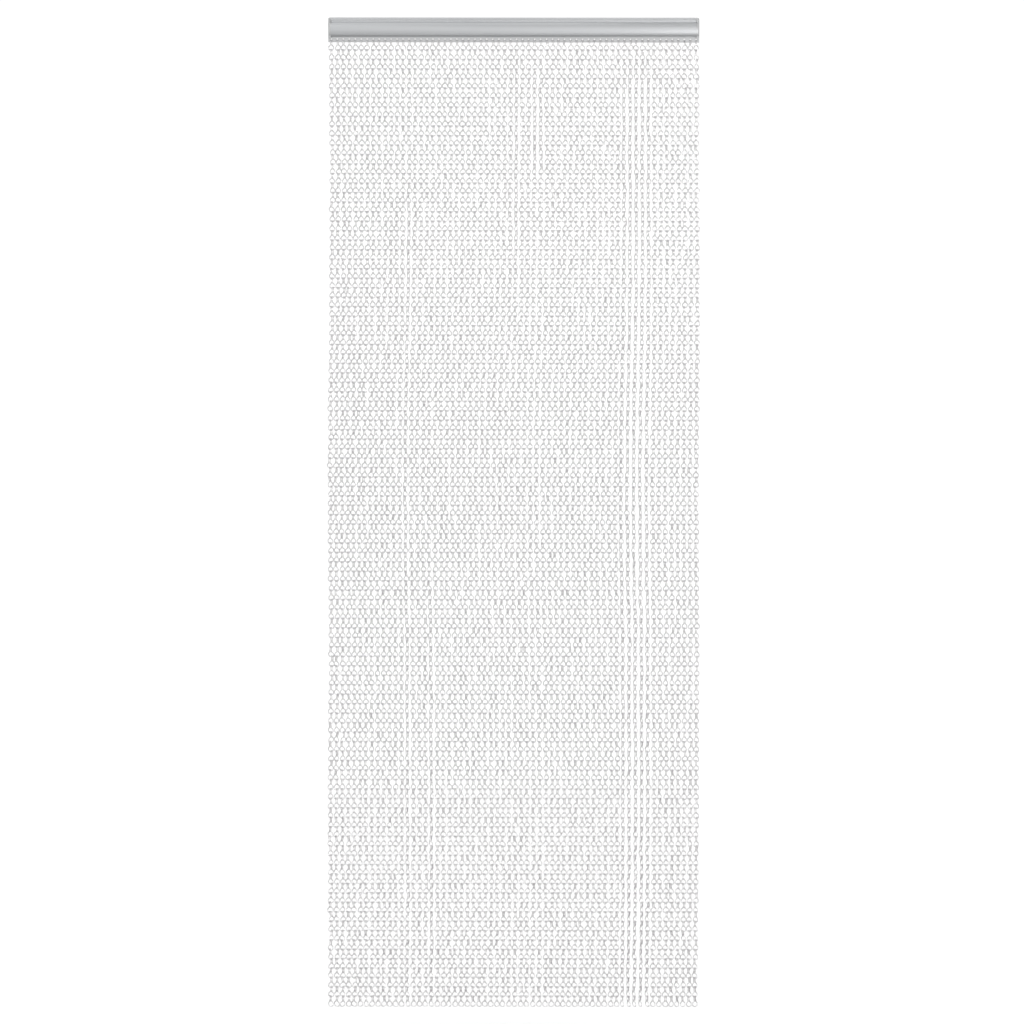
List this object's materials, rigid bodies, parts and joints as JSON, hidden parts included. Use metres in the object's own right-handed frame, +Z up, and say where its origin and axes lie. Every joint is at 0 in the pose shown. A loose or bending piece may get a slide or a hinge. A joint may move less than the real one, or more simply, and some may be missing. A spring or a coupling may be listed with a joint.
{
  "type": "chain fly curtain with its wall rail",
  "caption": "A fly curtain of hanging bent-wire aluminium chains in a door-wide aluminium wall rail with end caps and a hanger strip.",
  "frame": {"origin": "centre of the rail's flat back face, where it lies on the wall", "axes": "+X to the right along the rail, +Y into the wall, +Z up; the front faces -Y"},
  "size_m": [0.8014, 0.022, 2.133],
  "materials": {
    "rail_aluminium": "satin anodised extrusion with fine lines along its length",
    "cap_plastic": "moulded grey plastic, fine matt texture",
    "chain_aluminium": "bright drawn aluminium wire"
  },
  "bodies": {
    "root": {"rail": "rail_aluminium", "end_cap_left": "cap_plastic", "end_cap_right": "cap_plastic", "chain_curtain": "chain_aluminium"}
  },
  "joints": []
}
